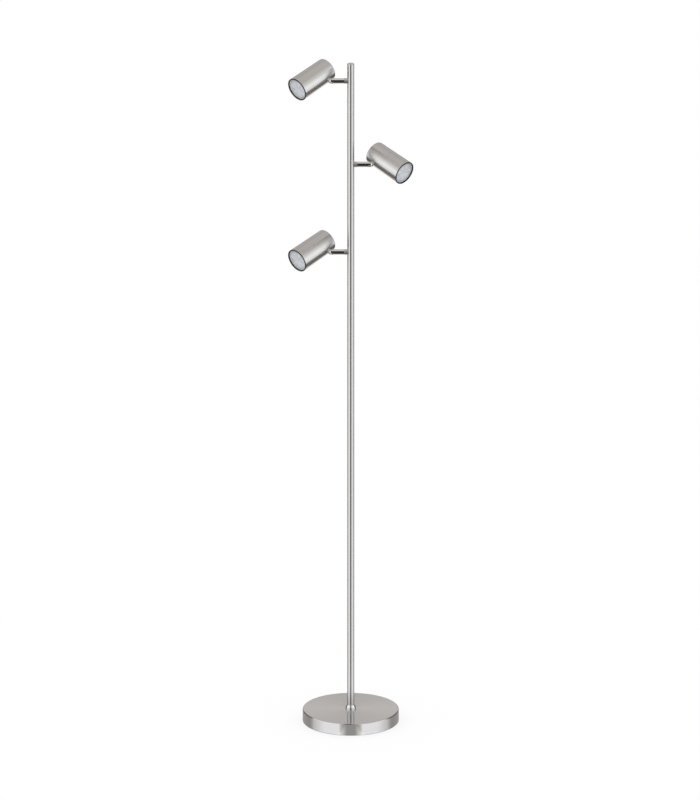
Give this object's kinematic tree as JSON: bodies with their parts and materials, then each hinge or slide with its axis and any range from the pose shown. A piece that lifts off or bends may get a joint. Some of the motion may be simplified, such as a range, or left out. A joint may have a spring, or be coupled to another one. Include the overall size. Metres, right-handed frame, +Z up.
{
  "type": "floor lamp",
  "caption": "Round weighted base, slim jointed pole and cylindrical spot heads that turn and tilt on short side arms.",
  "frame": {"origin": "centre of the foot pad's underside, on the floor, on the pole's axis", "axes": "+Z up the pole; -Y is the front, where the spots aim; the arms leave the pole along X"},
  "size_m": [0.2844, 0.2215, 1.574],
  "materials": {
    "brushed_base": "nickel plated, spun brush marks",
    "brushed_pole": "nickel plated, brushed",
    "brushed_head": "nickel plated, brushed round the axis",
    "chrome": "polished",
    "dark_ring": "satin dark grey",
    "frosted_lens": "frosted",
    "lamp_white": "white housing",
    "ceramic": "stands in for glazed ceramic",
    "zinc": "zinc plated",
    "brass": "turned",
    "iron_weight": "cast, black dip",
    "foot_pad": "matte",
    "black_rubber": "matte",
    "white_plastic": "moulded"
  },
  "bodies": {
    "stand": {"base_cover": "brushed_base", "base_weight": "iron_weight", "base_pad": "foot_pad", "base_collar": "chrome", "base_nipple": "zinc", "base_washer": "zinc", "base_nut": "zinc", "cable_grommet": "black_rubber", "terminal_block": "white_plastic", "inner_cable": "black_rubber", "lower_tube": "brushed_pole", "middle_tube": "brushed_pole", "upper_tube": "brushed_pole", "pole_inserts": "brass", "pole_studs": "brass", "pole_cap": "brushed_pole", "arm_nipples": "zinc", "arm_nuts": "zinc", "top_boss": "brushed_pole", "middle_boss": "brushed_pole", "low_boss": "brushed_pole"},
    "top_arm": {"top_arm_tube": "chrome", "top_arm_fork": "chrome", "top_hinge_screw": "zinc"},
    "top_head": {"top_tongue": "chrome", "top_tongue_nut": "zinc", "top_shell": "brushed_head", "top_front_ring": "dark_ring", "top_lamp_body": "lamp_white", "top_lamp_lens": "frosted_lens", "top_lamp_pins": "zinc", "top_lamp_holder": "ceramic", "top_holder_bracket": "zinc"},
    "middle_arm": {"middle_arm_tube": "chrome", "middle_arm_fork": "chrome", "middle_hinge_screw": "zinc"},
    "middle_head": {"middle_tongue": "chrome", "middle_tongue_nut": "zinc", "middle_shell": "brushed_head", "middle_front_ring": "dark_ring", "middle_lamp_body": "lamp_white", "middle_lamp_lens": "frosted_lens", "middle_lamp_pins": "zinc", "middle_lamp_holder": "ceramic", "middle_holder_bracket": "zinc"},
    "low_arm": {"low_arm_tube": "chrome", "low_arm_fork": "chrome", "low_hinge_screw": "zinc"},
    "low_head": {"low_tongue": "chrome", "low_tongue_nut": "zinc", "low_shell": "brushed_head", "low_front_ring": "dark_ring", "low_lamp_body": "lamp_white", "low_lamp_lens": "frosted_lens", "low_lamp_pins": "zinc", "low_lamp_holder": "ceramic", "low_holder_bracket": "zinc"}
  },
  "joints": [
    {"name": "top_arm_turn", "type": "hinge", "parent": "stand", "child": "top_arm", "pos_m": [-0.0151, 0, 1.532], "axis": [-1, 0, 0], "range_deg": [-170, 170]},
    {"name": "top_head_tilt", "type": "hinge", "parent": "top_arm", "child": "top_head", "pos_m": [-0.0448, 0, 1.532], "axis": [0, 0.3827, -0.9239], "range_deg": [-74, 46]},
    {"name": "middle_arm_turn", "type": "hinge", "parent": "stand", "child": "middle_arm", "pos_m": [0.0151, 0, 1.332], "axis": [1, 0, 0], "range_deg": [-170, 170]},
    {"name": "middle_head_tilt", "type": "hinge", "parent": "middle_arm", "child": "middle_head", "pos_m": [0.0448, 0, 1.332], "axis": [0, -0.3827, 0.9239], "range_deg": [-74, 46]},
    {"name": "low_arm_turn", "type": "hinge", "parent": "stand", "child": "low_arm", "pos_m": [-0.0151, 0, 1.122], "axis": [-1, 0, 0], "range_deg": [-170, 170]},
    {"name": "low_head_tilt", "type": "hinge", "parent": "low_arm", "child": "low_head", "pos_m": [-0.0448, 0, 1.122], "axis": [0, 0.3827, -0.9239], "range_deg": [-74, 46]}
  ]
}
